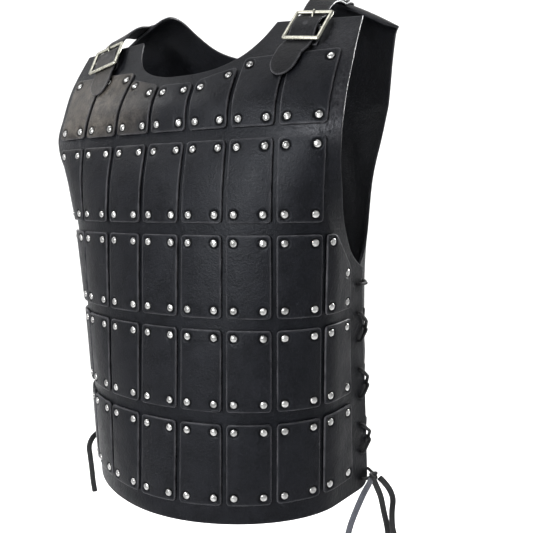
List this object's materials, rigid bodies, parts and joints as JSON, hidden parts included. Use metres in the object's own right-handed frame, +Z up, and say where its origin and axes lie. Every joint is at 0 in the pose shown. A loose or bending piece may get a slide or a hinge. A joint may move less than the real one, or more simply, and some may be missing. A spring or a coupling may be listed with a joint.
{
  "type": "lamellar armour vest",
  "caption": "Hollow black leather lamellar vest: riveted plates on the front, buckled shoulder straps, laced sides, open neck, armholes and hem.",
  "frame": {"origin": "midway between the wearer's shoulders, at the height where the vest bears on them", "axes": "+Z up, -Y the wearer's front, +X the wearer's left"},
  "size_m": [0.4282, 0.2699, 0.6468],
  "materials": {
    "backing_leather": "semi-gloss, fine grain",
    "plate_leather": "semi-gloss, burnished edges, plated rivets",
    "strap_leather": "semi-gloss, smooth",
    "buckle_metal": "pale antique silver, polished edges",
    "lace_cord": "matt braid"
  },
  "bodies": {
    "root": {"front_panel": "backing_leather", "back_panel": "backing_leather", "lamella_r1_c1": "plate_leather", "lamella_r1_c2": "plate_leather", "lamella_r1_c3": "plate_leather", "lamella_r1_c4": "plate_leather", "lamella_r1_c5": "plate_leather", "lamella_r1_c6": "plate_leather", "lamella_r1_c7": "plate_leather", "lamella_r2_c1": "plate_leather", "lamella_r2_c2": "plate_leather", "lamella_r2_c3": "plate_leather", "lamella_r2_c4": "plate_leather", "lamella_r2_c5": "plate_leather", "lamella_r2_c6": "plate_leather", "lamella_r2_c7": "plate_leather", "lamella_r3_c1": "plate_leather", "lamella_r3_c2": "plate_leather", "lamella_r3_c3": "plate_leather", "lamella_r3_c4": "plate_leather", "lamella_r3_c5": "plate_leather", "lamella_r3_c6": "plate_leather", "lamella_r3_c7": "plate_leather", "lamella_r3_c8": "plate_leather", "lamella_r3_c9": "plate_leather", "lamella_r4_c1": "plate_leather", "lamella_r4_c2": "plate_leather", "lamella_r4_c3": "plate_leather", "lamella_r4_c4": "plate_leather", "lamella_r4_c5": "plate_leather", "lamella_r4_c6": "plate_leather", "lamella_r4_c7": "plate_leather", "lamella_r4_c8": "plate_leather", "lamella_r4_c9": "plate_leather", "lamella_r5_c1": "plate_leather", "lamella_r5_c2": "plate_leather", "lamella_r5_c3": "plate_leather", "lamella_r5_c4": "plate_leather", "lamella_r5_c5": "plate_leather", "lamella_r5_c6": "plate_leather", "lamella_r5_c7": "plate_leather", "lamella_r5_c8": "plate_leather", "lamella_r5_c9": "plate_leather", "strap_left": "strap_leather", "chape_left": "strap_leather", "buckle_prong_left": "buckle_metal", "buckle_frame_left": "buckle_metal", "side_lace_left": "lace_cord", "strap_right": "strap_leather", "chape_right": "strap_leather", "buckle_prong_right": "buckle_metal", "buckle_frame_right": "buckle_metal", "side_lace_right": "lace_cord", "lace_end_left_front": "lace_cord", "lace_end_left_loop": "lace_cord", "lace_end_right": "lace_cord"}
  },
  "joints": []
}
